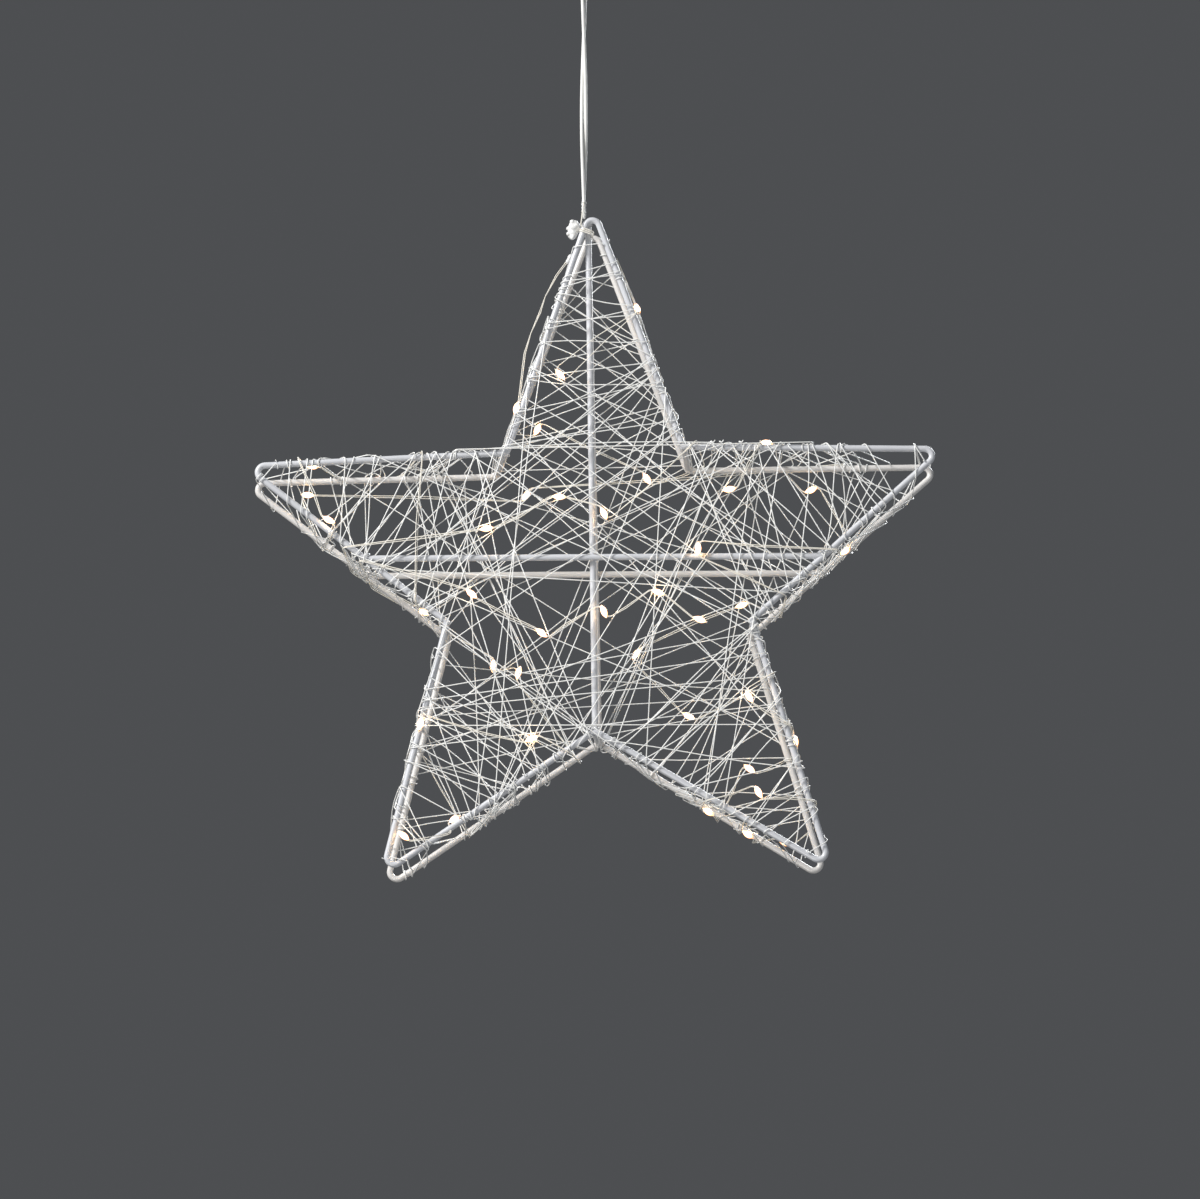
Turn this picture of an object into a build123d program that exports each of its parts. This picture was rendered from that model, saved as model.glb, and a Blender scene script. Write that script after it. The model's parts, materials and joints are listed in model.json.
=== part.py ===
from build123d import *
import os
from math import cos, pi, radians, sin, tan

os.makedirs("parts", exist_ok=True)

# Hanging wire star with a string of small lights wound round it.
# X runs to the right, Y runs away from the viewer, Z up. The origin is the middle of the
# hook plate's upper face, which lies against the ceiling. The star hangs below it.

# Star outline, where the centrelines of its bars cross
star_radius = 205.0
notch_radius = 86.5
star_depth = 50.0
hang_tilt_deg = 1.3
tip_bend_radius = 4.0
notch_bend_radius = 4.0
star_shift = 8.4
star_drop = 384.0

# Wires, rods and the gaps between them
frame_wire_d = 3.5
winding_wire_d = 0.6
led_wire_d = 0.45
led_wire_pitch = 0.8
butt_gap = 0.3
weld_gap = 0.05
layer_gap = 0.1

# Where each frame's wire ends meet, as a share of the bar that holds them
front_butt_bar, front_butt_share = 8, 0.17
rear_butt_bar, rear_butt_share = 4, 0.13

# Hand bending: how far each corner strays from a regular star, as shares of its radius,
# clockwise from the top tip, tip and notch in turn
front_stray_shares = [
    (0.004, 0.006), (-0.014, -0.007), (-0.018, 0.004), (0.005, -0.012), (0.011, -0.009),
    (-0.020, -0.013), (-0.006, 0.002), (-0.008, 0.001), (0.008, -0.001), (0.008, -0.012),
]
rear_stray_shares = [
    (0.007, 0.012), (0.000, -0.022), (-0.010, 0.005), (0.005, -0.012), (0.005, -0.002),
    (-0.010, -0.005), (-0.005, -0.001), (-0.008, 0.001), (-0.005, 0.002), (-0.022, -0.027),
]

# Upright and cross rods
upright_top_share = 0.962
upright_left_share = 0.029
cross_rod_height_share = 0.038
cross_rod_rise_share = 0.008

# Windings
arm_loops = 24
arm_start_share, arm_end_share, arm_slant_share = 0.135, 0.505, 0.28
band_loops = 16
band_start_share, band_end_share, band_slant_share = 0.68, 0.87, 0.075
band_layers = [0, 1, 0, 1, 2]
wander_share = 0.12

# Lights
bead_length = 7.0
bead_d = 2.8
bead_end_d = 1.7
bead_shoulder_shares = [(0.75, 0.8), (0.35, 1.0)]
bead_gap = 0.3
chip_length, chip_width, chip_height = 1.6, 0.9, 0.4
chip_clearance = 0.05
wire_bore_clearance = 0.12
bead_run = 4.5
bead_bend_run = 0.9

# Supply lead and its fittings
strand_d = 2.0
strand_gap = 0.3
strand_runs = 6
strand_start_deg = 20.0
strand_turn_deg = 255.0
lead_foot_drop = 176.0
turn_gap = 0.3
sleeve_d = 4.6
sleeve_length = 8.0
sleeve_edge = 0.6
lump_out, lump_across, lump_along = 5.2, 7.0, 11.6
lump_edge = 1.6
lump_share = 0.105
lump_behind = 3.5
tie_wire_d = 0.6
tie_turns = 3
tie_start_share = 0.092
tie_pitch = 1.0
tie_inner = 5.6
tie_lead_gap = 0.3
grip_d = 8.0
grip_length = 14.0
grip_drop = 29.0
grip_edge = 1.0
eye_bore_d = 7.0
eye_wire_d = 2.4

# Ceiling hook
hook_wire_d = 2.6
hook_inner_radius = 5.5
hook_bend_share = 0.95
hook_shank = 4.0
hook_crank_end = 10.0
hook_crank_radius = 2.5
hook_tip_drop = 12.0
hook_play = 0.3
hook_drop = 22.0
plate_d = 18.0
plate_t = 2.0
plate_edge = 0.5

# Sizes that follow
frame_r = frame_wire_d / 2
strand_r = strand_d / 2
bead_r = bead_d / 2
hook_r = hook_inner_radius + hook_wire_d / 2
arms = ["top_arm", "right_arm", "right_leg", "left_leg", "left_arm"]
bands = ["right", "lower", "left", "upper_left", "upper_right"]


def layer_offset(layer):
    """How far a winding's centreline lies outside the centreline of the frame wire."""
    return frame_r + layer_gap + winding_wire_d / 2 + layer * (winding_wire_d + layer_gap)


def string_offset(layer):
    """How far the string of lights lies out where it rests on a layer of winding."""
    return layer_offset(layer) + winding_wire_d / 2 + bead_gap + bead_r


def frame_y(frame):
    return 0 if frame == "front" else star_depth


def corner(frame, k):
    """Corner k of a frame in its plane, clockwise from the top tip: even is a tip, odd a notch."""
    reach = notch_radius if k % 2 else star_radius
    angle = radians(90 + hang_tilt_deg - 36 * k)
    stray = (front_stray_shares if frame == "front" else rear_stray_shares)[k % 10]
    x = star_shift + reach * cos(angle) + stray[0] * star_radius
    z = -star_drop + reach * sin(angle) + stray[1] * star_radius
    return Vector(x, frame_y(frame), z)


def bar_point(frame, bar, share):
    """A point on the centreline of the bar from corner bar to the next one."""
    start, end = corner(frame, bar), corner(frame, bar + 1)
    return start + (end - start) * share


def bar_direction(frame, bar):
    return (corner(frame, bar + 1) - corner(frame, bar)).normalized()


def outward(frame, bar):
    """The direction in the frame's plane that points out of the star from a bar."""
    along = bar_direction(frame, bar)
    return Vector(-along.Z, 0, along.X)


def edge_point(frame, bar, share, offset):
    """Where a wire that lies at an offset turns from the frame's face to the side of a bar."""
    forward = Vector(0, -offset if frame == "front" else offset, 0)
    return bar_point(frame, bar, share) + outward(frame, bar) * offset + forward


def turn_at(points, i):
    return radians((points[i] - points[i - 1]).get_angle(points[i + 1] - points[i]))


def wire_solid(points, tangents, diameter):
    """A round wire along straight runs with an arc at each corner, tangents long on each side.
    Returns it with its length, its volume against section times length, and its tightest arc."""
    radii = []
    for i in range(1, len(points) - 1):
        shorter = min((points[i] - points[i - 1]).length, (points[i + 1] - points[i]).length)
        radii.append(min(tangents[i], 0.45 * shorter) / tan(turn_at(points, i) / 2))
    with BuildPart() as wire:
        with BuildLine() as path:
            FilletPolyline(*points, radius=radii)
        with BuildSketch(Plane(origin=points[0], z_dir=points[1] - points[0])):
            Circle(diameter / 2)
        sweep(path=path.line)
    length = sum(edge.length for edge in path.edges())
    filled = wire.part.volume / (pi * diameter**2 / 4 * length)
    return wire.part, length, filled, min(radii)


def run_gap(a, b, c, d):
    """The least distance between two straight runs, from a to b and from c to d."""
    u, v, w = b - a, d - c, a - c
    uu, uv, vv, uw, vw = u.dot(u), u.dot(v), v.dot(v), u.dot(w), v.dot(w)
    skew = uu * vv - uv * uv
    s = min(max((uv * vw - vv * uw) / skew, 0), 1) if skew > 0 else 0
    t = min(max((uv * s + vw) / vv, 0), 1)
    s = min(max((uv * t - uw) / uu, 0), 1)
    return ((a + u * s) - (c + v * t)).length


def gap_to_itself(points, diameter):
    """The least gap between each run of a winding and the runs one to three loops on."""
    least = star_radius
    runs = list(zip(points, points[1:]))
    for i, (a, b) in enumerate(runs):
        for c, d in runs[i + 3:i + 13]:
            least = min(least, run_gap(a, b, c, d))
    return least - diameter


def save(shape, name):
    shape.label = name
    export_step(shape, f"parts/{name}.step")


# The two star frames: each is one wire, bent round ten corners, its ends butted
for frame, butt_bar, butt_share in (
    ("front", front_butt_bar, front_butt_share),
    ("rear", rear_butt_bar, rear_butt_share),
):
    meet = bar_point(frame, butt_bar, butt_share)
    half_butt = bar_direction(frame, butt_bar) * (butt_gap / 2)
    order = [butt_bar + 1 + n for n in range(10)]
    route = [meet + half_butt, *[corner(frame, k) for k in order], meet - half_butt]
    bends = [notch_bend_radius if k % 2 else tip_bend_radius for k in order]
    with BuildPart() as star_frame:
        with BuildLine() as outline:
            FilletPolyline(*route, radius=bends)
        with BuildSketch(Plane(origin=route[0], z_dir=route[1] - route[0])):
            Circle(frame_r)
        sweep(path=outline.line)
    wire_length = sum(edge.length for edge in outline.edges())
    print(f"{frame} frame: {wire_length:.0f} mm of wire")
    save(star_frame.part, f"{frame}_star_frame")


def bend_middle(frame, k, radius):
    """The middle of the bend at corner k, on the wire's centreline."""
    before = (corner(frame, k - 1) - corner(frame, k)).normalized()
    after = (corner(frame, k + 1) - corner(frame, k)).normalized()
    half_angle = radians(before.get_angle(after)) / 2
    return corner(frame, k) + (before + after).normalized() * (radius / sin(half_angle) - radius)


# Five struts hold the frames apart, one welded between the bends of each pair of notches
for n in range(5):
    k = 2 * n + 1
    foot = bend_middle("front", k, notch_bend_radius)
    head = bend_middle("rear", k, notch_bend_radius)
    along = (head - foot).normalized()
    end_inset = frame_r + weld_gap + frame_r * (1 - along.Y**2) ** 0.5
    with BuildPart() as strut:
        with BuildSketch(Plane(origin=foot + along * end_inset, z_dir=along)):
            Circle(frame_r)
        extrude(amount=(head - foot).length - 2 * end_inset)
    save(strut.part, f"spacer_strut_{n + 1}")

# Upright rods, welded inside the frames from the top bend down to the lowest strut
for frame, inward in (("front", 1), ("rear", -1)):
    y = frame_y(frame) + inward * (frame_wire_d + weld_gap)
    notch = bend_middle(frame, 5, notch_bend_radius)
    foot = Vector(notch.X, y, notch.Z + frame_wire_d + 2 * weld_gap)
    top = Vector(star_shift - upright_left_share * star_radius, y,
                 -star_drop + upright_top_share * star_radius)
    with BuildPart() as upright:
        with BuildSketch(Plane(origin=foot, z_dir=top - foot)):
            Circle(frame_r)
        extrude(amount=(top - foot).length)
    save(upright.part, f"{frame}_upright_rod")

# Cross rods, coped round the lower bars of the side arms that they are welded to
cross_bars = (7, -cross_rod_rise_share / 2), (2, cross_rod_rise_share / 2)
for frame in ("front", "rear"):
    ends = []
    for bar, rise in cross_bars:
        start, end = corner(frame, bar), corner(frame, bar + 1)
        z = -star_drop + (cross_rod_height_share + rise) * star_radius
        ends.append(start + (end - start) * ((z - start.Z) / (end.Z - start.Z)))
    with BuildPart() as cross:
        with BuildSketch(Plane(origin=ends[0], z_dir=ends[1] - ends[0])):
            Circle(frame_r)
        extrude(amount=(ends[1] - ends[0]).length)
        for (bar, rise), at in zip(cross_bars, ends):
            with BuildSketch(Plane(origin=at, z_dir=bar_direction(frame, bar))):
                Circle(frame_r + weld_gap)
            extrude(amount=3 * frame_wire_d, both=True, mode=Mode.SUBTRACT)
            with BuildSketch(Plane(origin=at, z_dir=outward(frame, bar))):
                Rectangle(6 * frame_wire_d, 6 * frame_wire_d)
            extrude(amount=frame_wire_d, mode=Mode.SUBTRACT)
    save(cross.part.solids().sort_by(SortBy.VOLUME)[-1], f"{frame}_cross_rod")


def wander(i, seed):
    """A small uneven shift, the same on every build, in shares of a winding's pitch."""
    return wander_share * (sin(2.4 * i + seed) + sin(5.3 * i + 2 * seed))


def winding(name, bars, first, last, slant, slant_grows, loops, layer, seed):
    """Loops round two bars of both frames, at shares from first to last of each bar's length,
    counted from its tip. The two ends of each run differ by the slant."""
    offset = layer_offset(layer)
    pitch = (last - first) / loops
    near, far = bars
    points = []
    for i in range(loops):
        low = first + pitch * (i + wander(i, seed))
        high = low * (1 + slant) if slant_grows else low + slant
        for frame, bar, share in (("front", near, low), ("front", far, high),
                                  ("rear", far, low + pitch / 2), ("rear", near, high + pitch / 2)):
            points.append(edge_point(frame, bar, 1 - share if bar % 2 else share, offset))
    part, length, filled, tightest = wire_solid(points, [offset] * len(points), winding_wire_d)
    gap = gap_to_itself(points, winding_wire_d)
    print(f"{name}: {loops} loops, {length:.0f} mm, volume ratio {filled:.4f}, "
          f"least gap to itself {gap:.2f} mm, tightest arc {tightest:.2f} mm")
    save(part, name)


# One winding on each arm, in crossed slants, from near the tip to halfway down
for n, arm in enumerate(arms):
    winding(f"winding_{arm}", (2 * n, (2 * n - 1) % 10), arm_start_share, arm_end_share,
            arm_slant_share, True, arm_loops, 0, n + 1)

# Five bands of winding across the body, each from one arm's far bar to the next but one's
for n, band in enumerate(bands):
    winding(f"winding_band_{band}", ((2 * n + 1) % 10, (2 * n + 4) % 10), band_start_share,
            band_end_share, band_slant_share, False, band_loops, band_layers[n], n + 7)

# The string of lights, in four lengths. In order along the wire, each row is a light on a face
# (face, x and z as shares of the star's radius from its centre), a light on a side
# ("side", bar, share of the bar, share of the depth), a corner where the wire turns round a
# bar ("edge", face, bar, share of the bar) or a plain place on a side ("start", as a side).
# Each length rests on the layer of winding that string_layers gives.
string_layers = {"top": 0, "left": 2, "right": 2, "waist": 1}
string_shares = {
    "top": [
        ("start", 0, 0.14, 0.15), ("side", 0, 0.40, 0.45), ("edge", "front", 0, 0.45),
        ("front", -0.105, 0.538),
    ],
    "left": [
        ("start", 9, 0.82, 0.30), ("side", 9, 0.22, 0.50), ("edge", "rear", 9, 0.17),
        ("rear", -0.167, 0.434), ("rear", 0.126, 0.297), ("edge", "rear", 1, 0.07),
        ("edge", "front", 1, 0.05), ("front", 0.013, 0.149), ("front", -0.102, 0.204),
        ("front", -0.301, 0.119), ("edge", "front", 8, 0.80), ("edge", "rear", 8, 0.84),
        ("rear", -0.196, 0.261), ("edge", "rear", 7, 0.09), ("side", 7, 0.115, 0.50),
        ("edge", "front", 7, 0.14), ("edge", "front", 8, 0.68), ("edge", "rear", 8, 0.63),
        ("rear", -0.605, 0.200), ("edge", "rear", 7, 0.53), ("edge", "front", 7, 0.58),
        ("front", -0.724, 0.170), ("edge", "front", 8, 0.26), ("side", 8, 0.235, 0.70),
        ("edge", "rear", 8, 0.22), ("rear", -0.794, 0.250),
    ],
    "right": [
        ("front", 0.344, 0.225), ("edge", "front", 1, 0.32), ("side", 1, 0.34, 0.50),
        ("edge", "rear", 1, 0.36), ("rear", 0.570, 0.272), ("edge", "rear", 2, 0.46),
        ("side", 2, 0.50, 0.50), ("edge", "front", 2, 0.54), ("front", 0.266, 0.058),
        ("edge", "front", 2, 0.84), ("edge", "rear", 2, 0.86), ("rear", 0.388, -0.030),
        ("rear", 0.102, -0.177), ("rear", 0.239, -0.350), ("edge", "rear", 3, 0.20),
        ("edge", "front", 3, 0.22), ("front", 0.404, -0.342), ("edge", "front", 3, 0.44),
        ("side", 3, 0.47, 0.50), ("edge", "rear", 3, 0.50), ("rear", 0.401, -0.492),
        ("edge", "rear", 4, 0.46), ("side", 4, 0.49, 0.50), ("edge", "front", 4, 0.52),
        ("front", 0.422, -0.605), ("edge", "front", 3, 0.74), ("edge", "rear", 3, 0.79),
        ("rear", 0.500, -0.665), ("edge", "rear", 4, 0.31), ("side", 4, 0.33, 0.50),
        ("edge", "front", 4, 0.36),
    ],
    "waist": [
        ("front", 0.277, -0.136), ("front", 0.161, -0.062), ("front", 0.011, -0.109),
        ("front", -0.156, -0.169), ("front", -0.344, -0.062), ("edge", "front", 6, 0.92),
        ("edge", "rear", 6, 0.94), ("rear", -0.298, -0.214), ("rear", -0.218, -0.237),
        ("edge", "rear", 5, 0.10), ("edge", "front", 5, 0.13), ("front", -0.180, -0.459),
        ("edge", "front", 6, 0.63), ("side", 6, 0.60, 0.50), ("edge", "rear", 6, 0.57),
        ("edge", "rear", 5, 0.62), ("side", 5, 0.655, 0.50), ("edge", "front", 5, 0.69),
        ("front", -0.515, -0.715),
    ],
}


def string_place(row, offset):
    """The point of one row of the table, for a wire that lies at an offset."""
    if row[0] == "edge":
        return edge_point(row[1], row[2], row[3], offset)
    if row[0] in ("side", "start"):
        front = bar_point("front", row[1], row[2]) + outward("front", row[1]) * offset
        rear = bar_point("rear", row[1], row[2]) + outward("rear", row[1]) * offset
        return front + (rear - front) * row[3]
    y = frame_y(row[0]) + (-offset if row[0] == "front" else offset)
    return Vector(star_shift + row[1] * star_radius, y, -star_drop + row[2] * star_radius)


def string_route(rows, offset):
    """The wire's corners with the length of their bends, and the place and run of each light."""
    places = [string_place(row, offset) for row in rows]
    last = len(rows) - 1
    points, tangents, lights = [], [], []
    for i, (row, place) in enumerate(zip(rows, places)):
        if row[0] in ("edge", "start"):
            points.append(place)
            tangents.append(offset)
            continue
        if i == 0 or i == last:
            points.append(place)
        else:
            along = (place - places[i - 1]).normalized() + (places[i + 1] - place).normalized()
            along = along.normalized()
            points += [place - along * bead_run, place + along * bead_run]
            lights.append((place, along, row))
        tangents += [bead_bend_run] * (len(points) - len(tangents))
    if rows[0][0] not in ("edge", "start"):
        along = (points[1] - points[0]).normalized()
        lights.insert(0, (places[0], along, rows[0]))
        points[0] -= along * bead_run
    if rows[last][0] not in ("edge", "start"):
        along = (points[-1] - points[-2]).normalized()
        lights.append((places[last], along, rows[last]))
        points[-1] += along * bead_run
    return points, tangents, lights


lights = []
for string, rows in string_shares.items():
    wires = []
    middle = string_offset(string_layers[string])
    for offset in (middle - led_wire_pitch / 2, middle + led_wire_pitch / 2):
        points, tangents, _ = string_route(rows, offset)
        part, length, filled, tightest = wire_solid(points, tangents, led_wire_d)
        wires.append(part.solid())
        print(f"light string {string}: {length:.0f} mm, volume ratio {filled:.4f}, "
              f"tightest arc {tightest:.2f} mm")
    lights += string_route(rows, middle)[2]
    save(Compound(children=wires), f"light_string_{string}")
print(f"{len(lights)} lights")

# Each light is a chip on the two wires inside a bead of clear resin
chip_x = led_wire_d / 2 + chip_clearance + chip_height / 2
with BuildPart() as bead:
    with BuildSketch(Plane.XZ):
        with BuildLine():
            side = [(bead_r * out, bead_length / 2 * up) for up, out in bead_shoulder_shares]
            side.insert(0, (bead_end_d / 2, bead_length / 2))
            below = [(x, -z) for x, z in reversed(side)]
            Polyline((0, bead_length / 2), *side, *below, (0, -bead_length / 2), close=True)
        make_face()
    revolve(axis=Axis.Z)
    with BuildSketch():
        with Locations((0, -led_wire_pitch / 2), (0, led_wire_pitch / 2)):
            Circle(led_wire_d / 2 + wire_bore_clearance)
    extrude(amount=bead_length, both=True, mode=Mode.SUBTRACT)
    with Locations((chip_x, 0, 0)):
        Box(chip_height + 2 * chip_clearance, chip_width + 2 * chip_clearance,
            chip_length + 2 * chip_clearance, mode=Mode.SUBTRACT)
with BuildPart() as chip:
    with Locations((chip_x, 0, 0)):
        Box(chip_height, chip_width, chip_length)
beads, chips = [], []
for place, along, row in lights:
    out = Vector(0, -1 if row[0] == "front" else 1, 0)
    if row[0] == "side":
        out = outward("front", row[1])
    out = (out - along * out.dot(along)).normalized()
    seat = Location(Plane(origin=place, x_dir=out.cross(along), z_dir=along))
    beads.append(bead.part.solid().moved(seat))
    chips.append(chip.part.solid().moved(seat))
save(Compound(children=beads), "light_beads")
save(Compound(children=chips), "light_chips")

# Sleeve over the end of the supply lead, on the shoulder of the front frame's top bend
sleeve_top = -lead_foot_drop - turn_gap
with BuildPart() as sleeve:
    with BuildSketch(Plane.XY.offset(sleeve_top)):
        Circle(sleeve_d / 2)
    extrude(amount=-sleeve_length)
    chamfer(sleeve.edges(), sleeve_edge)
save(sleeve.part, "lead_sleeve")

# Glued splice of the lead and the light string, outside the top arm's left bar
top_bar = 9
tie_out = outward("front", top_bar)
lump_middle = bar_point("front", top_bar, 1 - lump_share) + Vector(0, lump_behind, 0)
lump_middle += tie_out * (layer_offset(1) + winding_wire_d / 2 + lump_out / 2)
lump_plane = Plane(origin=lump_middle, x_dir=tie_out, z_dir=bar_direction("front", top_bar))
with BuildPart() as lump:
    with BuildSketch(lump_plane.offset(-lump_along / 2)):
        RectangleRounded(lump_out, lump_across, lump_edge)
    extrude(amount=lump_along)
    fillet(lump.faces().sort_by(Axis.Z)[-1].edges(), lump_edge / 2)
    fillet(lump.faces().sort_by(Axis.Z)[0].edges(), lump_edge / 2)
save(lump.part, "lead_splice")

# Tie wire: its end lies in front of the sleeve, then it turns round the frame's left top bar
# and the upright rod behind it
tie_outer = frame_r + layer_gap + tie_wire_d / 2
tie_rear = tie_outer + frame_wire_d + weld_gap
tie_front = sleeve_d / 2 + tie_lead_gap + tie_wire_d / 2
tie_corners = (
    (tie_outer, -tie_outer), (-tie_inner, -tie_outer), (-tie_inner, tie_rear), (tie_outer, tie_rear),
)
tie_points = [Vector(0, -tie_front, sleeve_top - layer_gap)]
for i in range(4 * tie_turns):
    out_offset, depth_offset = tie_corners[i % 4]
    on_bar = bar_point("front", top_bar, 1 - tie_start_share)
    on_bar -= bar_direction("front", top_bar) * (tie_pitch * i / 4)
    tie_points.append(on_bar + tie_out * out_offset + Vector(0, depth_offset, 0))
tie_part, tie_length, tie_filled, tie_arc = wire_solid(
    tie_points, [tie_outer] * len(tie_points), tie_wire_d)
print(f"tie wire: {tie_length:.0f} mm, volume ratio {tie_filled:.4f}, tightest arc {tie_arc:.2f} mm")
save(tie_part, "tie_wire")

# Supply lead: two strands, loosely twisted, from the grip down to the sleeve
strand_top = -(grip_drop + grip_length) - weld_gap
run_length = (lead_foot_drop + strand_top) / strand_runs
half_step = radians(strand_turn_deg / strand_runs / 2)
strand_reach = (strand_r + strand_gap / 2) / cos(half_step)
for n, strand in enumerate(("first", "second")):
    points = []
    for i in range(strand_runs + 1):
        angle = radians(strand_start_deg + 180 * n + strand_turn_deg * i / strand_runs)
        points.append(Vector(strand_reach * cos(angle), strand_reach * sin(angle),
                             strand_top - run_length * i))
    part, length, filled, tightest = wire_solid(points, [run_length] * len(points), strand_d)
    print(f"lead strand {strand}: {length:.0f} mm, volume ratio {filled:.4f}, "
          f"radius {tightest:.0f} mm")
    save(part, f"lead_strand_{strand}")

# Moulded grip on the lead, with an eye that hangs on the hook
eye_r = (eye_bore_d + eye_wire_d) / 2
eye_z = -hook_drop + hook_wire_d / 2 + hook_play + eye_wire_d / 2 - eye_r
with BuildPart() as grip:
    with BuildSketch(Plane.XY.offset(-grip_drop)):
        Circle(grip_d / 2)
    extrude(amount=-grip_length)
    chamfer(grip.edges(), grip_edge)
    with BuildSketch(Plane.XY.offset(eye_z)):
        with Locations((0, eye_r)):
            Circle(eye_wire_d / 2)
    revolve(axis=Axis((0, 0, eye_z), (1, 0, 0)))
save(grip.part, "hanging_grip")

# Ceiling hook: a plate and a cranked wire with a round bend
with BuildPart() as hook:
    with BuildSketch(Plane.XY.offset(-plate_t)):
        Circle(plate_d / 2)
    extrude(amount=plate_t)
    chamfer(hook.faces().sort_by(Axis.Z)[0].edges(), plate_edge)
    with BuildLine() as bend:
        FilletPolyline((0, 0, -plate_t / 2), (0, 0, -plate_t - hook_shank),
                       (-hook_r, 0, -hook_crank_end), (-hook_r, 0, -hook_drop),
                       (hook_r, 0, -hook_drop), (hook_r, 0, -hook_tip_drop),
                       radius=[hook_crank_radius, hook_crank_radius,
                               hook_r * hook_bend_share, hook_r * hook_bend_share])
    with BuildSketch(Plane.XY.offset(-plate_t / 2)):
        Circle(hook_wire_d / 2)
    sweep(path=bend.line)
save(hook.part, "ceiling_hook")
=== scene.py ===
import bpy
import bmesh
import json
import random
from math import cos, pi, radians, sin
from mathutils import Matrix, Vector, noise


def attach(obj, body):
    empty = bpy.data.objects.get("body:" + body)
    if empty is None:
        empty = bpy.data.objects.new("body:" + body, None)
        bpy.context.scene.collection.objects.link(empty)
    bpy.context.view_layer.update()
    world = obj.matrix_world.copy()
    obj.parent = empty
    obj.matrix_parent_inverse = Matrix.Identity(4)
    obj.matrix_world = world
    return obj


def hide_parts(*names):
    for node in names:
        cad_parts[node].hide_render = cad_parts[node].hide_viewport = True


bl_info = {
    "name": "Hanging Wire Star",
    "version": (1, 0, 0),
    "blender": (4, 5, 0),
    "location": "3D View > Sidebar > Wire Star",
    "description": "Dresses a lighted hanging wire star: its paint, windings, lights and lead",
    "category": "Add Mesh",
}

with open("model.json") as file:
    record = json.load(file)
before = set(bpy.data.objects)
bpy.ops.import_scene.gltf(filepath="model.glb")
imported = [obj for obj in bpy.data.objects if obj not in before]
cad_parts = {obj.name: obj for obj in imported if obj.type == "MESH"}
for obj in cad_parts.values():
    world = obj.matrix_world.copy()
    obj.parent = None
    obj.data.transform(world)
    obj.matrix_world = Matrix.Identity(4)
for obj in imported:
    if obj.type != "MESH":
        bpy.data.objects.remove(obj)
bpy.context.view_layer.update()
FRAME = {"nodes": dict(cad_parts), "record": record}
MM = 0.001

# The star's outline in millimetres, as its frames are bent. It hangs turned by HANG_TILT degrees,
# its middle STAR_SHIFT right of the hook and STAR_DROP below the ceiling.
STAR_RADIUS = 205.0
NOTCH_RADIUS = 86.5
STAR_DEPTH = 50.0
HANG_TILT = 1.3
STAR_SHIFT = 8.4
STAR_DROP = 384.0
BEND_RADIUS = 4.0
FRAME_R = 1.75

# How far each corner strays from the regular star, right and up, in shares of STAR_RADIUS
STRAY = {
    "front": [
        (0.004, 0.006), (-0.014, -0.007), (-0.018, 0.004), (0.005, -0.012), (0.011, -0.009),
        (-0.020, -0.013), (-0.006, 0.002), (-0.008, 0.001), (0.008, -0.001), (0.008, -0.012),
    ],
    "rear": [
        (0.007, 0.012), (0.000, -0.022), (-0.010, 0.005), (0.005, -0.012), (0.005, -0.002),
        (-0.010, -0.005), (-0.005, -0.001), (-0.008, 0.001), (-0.005, 0.002), (-0.022, -0.027),
    ],
}
ARMS = ["top_arm", "right_arm", "right_leg", "left_leg", "left_arm"]
BANDS = ["right", "lower", "left", "upper_left", "upper_right"]

# Millimetres from a bar's middle to a winding's wire: bound tight, laid over it, or turned round
# it, from the least to the most
BOUND_REACH = 2.25
LAID_REACH = (2.2, 3.0)
WRAP_REACH = (2.15, 2.5)
# How far along its bar each quarter of a full turn moves on
WRAP_STEP = (0.4, 1.2)
# The same for the string of lights: over a bar, off a side of the star, and off a face of it
EDGE_REACH = 3.1
SIDE_REACH = 4.6
FACE_REACH = 4.3
# Half of the straight run of wire through a light
LIGHT_RUN = 4.5

# The radii in millimetres to which the wires are bent where they turn
WINDING_BEND = 2.4
STRING_BEND = 3.0
CORE_BEND = 0.5

# The bands' seeds follow on from the arms', and the string of lights has its own
BAND_SEED = 20
STRING_SEED = 50

# The photograph's width and the focal length of its lens, both in pixels
PICTURE_WIDTH = 1200
PICTURE_LENS = 7240
SENSOR_WIDTH = 36.0

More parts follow.
